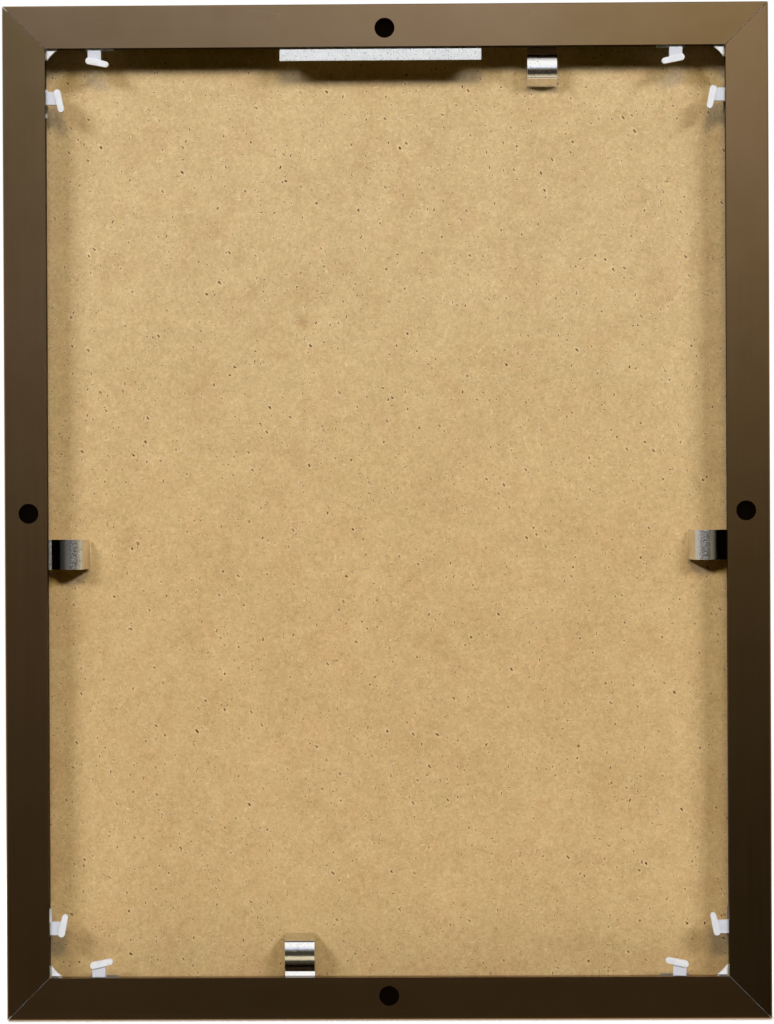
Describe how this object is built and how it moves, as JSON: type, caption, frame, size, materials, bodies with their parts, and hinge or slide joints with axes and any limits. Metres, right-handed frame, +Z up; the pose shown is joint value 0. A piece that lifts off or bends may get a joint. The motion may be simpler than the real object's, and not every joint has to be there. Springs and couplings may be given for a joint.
{
  "type": "picture frame",
  "caption": "Upright metal picture frame with mitred hollow rails, sliding corner locks, spring clips, a sliding hanger bar, glass, picture sheet and hardboard back.",
  "frame": {"origin": "middle of the frame's box: midway across, midway up and midway through its depth", "axes": "+Z up as the picture hangs, +Y out of the glazed front, +X to the right seen from the back"},
  "size_m": [0.306, 0.017, 0.406],
  "materials": {
    "bronze_rail": "bronze brown anodised, satin, with fine handling scratches",
    "corner_nylon": "white moulded nylon",
    "lock_nylon": "white moulded nylon, slightly glossier",
    "spring_steel": "bright nickel-plated spring steel",
    "zinc_strip": "zinc-plated strip with dark specks",
    "hardboard": "tan hardboard with dark flecks and soft mottling",
    "paper": null,
    "clear_glass": "clear float glass"
  },
  "bodies": {
    "root": {"rail_bottom": "bronze_rail", "rail_left": "bronze_rail", "rail_top": "bronze_rail", "rail_right": "bronze_rail", "corner_bottom_left": "corner_nylon", "corner_top_left": "corner_nylon", "corner_top_right": "corner_nylon", "corner_bottom_right": "corner_nylon", "backing_board": "hardboard", "picture_sheet": "paper", "glass": "clear_glass"},
    "lock_bottom_left": {"lock_bottom_left": "lock_nylon"},
    "lock_bottom_right": {"lock_bottom_right": "lock_nylon"},
    "lock_left_top": {"lock_left_top": "lock_nylon"},
    "lock_left_bottom": {"lock_left_bottom": "lock_nylon"},
    "lock_top_right": {"lock_top_right": "lock_nylon"},
    "lock_top_left": {"lock_top_left": "lock_nylon"},
    "lock_right_bottom": {"lock_right_bottom": "lock_nylon"},
    "lock_right_top": {"lock_right_top": "lock_nylon"},
    "clip_bottom": {"clip_bottom": "spring_steel"},
    "clip_left": {"clip_left": "spring_steel"},
    "clip_top": {"clip_top": "spring_steel"},
    "clip_right": {"clip_right": "spring_steel"},
    "hanger_bar": {"hanger_bar": "zinc_strip"}
  },
  "joints": [
    {"name": "lock_bottom_left_slide", "type": "slide", "parent": "root", "child": "lock_bottom_left", "axis": [1, 0, 0], "range_m": [0, 0.005]},
    {"name": "lock_bottom_right_slide", "type": "slide", "parent": "root", "child": "lock_bottom_right", "axis": [-1, 0, 0], "range_m": [0, 0.005]},
    {"name": "lock_left_top_slide", "type": "slide", "parent": "root", "child": "lock_left_top", "axis": [0, 0, -1], "range_m": [0, 0.005]},
    {"name": "lock_left_bottom_slide", "type": "slide", "parent": "root", "child": "lock_left_bottom", "axis": [0, 0, 1], "range_m": [0, 0.005]},
    {"name": "lock_top_right_slide", "type": "slide", "parent": "root", "child": "lock_top_right", "axis": [-1, 0, 0], "range_m": [0, 0.005]},
    {"name": "lock_top_left_slide", "type": "slide", "parent": "root", "child": "lock_top_left", "axis": [1, 0, 0], "range_m": [0, 0.005]},
    {"name": "lock_right_bottom_slide", "type": "slide", "parent": "root", "child": "lock_right_bottom", "axis": [0, 0, 1], "range_m": [0, 0.005]},
    {"name": "lock_right_top_slide", "type": "slide", "parent": "root", "child": "lock_right_top", "axis": [0, 0, -1], "range_m": [0, 0.005]},
    {"name": "clip_bottom_pull", "type": "slide", "parent": "root", "child": "clip_bottom", "axis": [0, 0, 1], "range_m": [0, 0.018]},
    {"name": "clip_left_pull", "type": "slide", "parent": "root", "child": "clip_left", "axis": [1, 0, 0], "range_m": [0, 0.018]},
    {"name": "clip_top_pull", "type": "slide", "parent": "root", "child": "clip_top", "axis": [0, 0, -1], "range_m": [0, 0.018]},
    {"name": "clip_right_pull", "type": "slide", "parent": "root", "child": "clip_right", "axis": [-1, 0, 0], "range_m": [0, 0.018]},
    {"name": "hanger_bar_slide", "type": "slide", "parent": "root", "child": "hanger_bar", "axis": [1, 0, 0], "range_m": [-0.058, 0.061]}
  ]
}
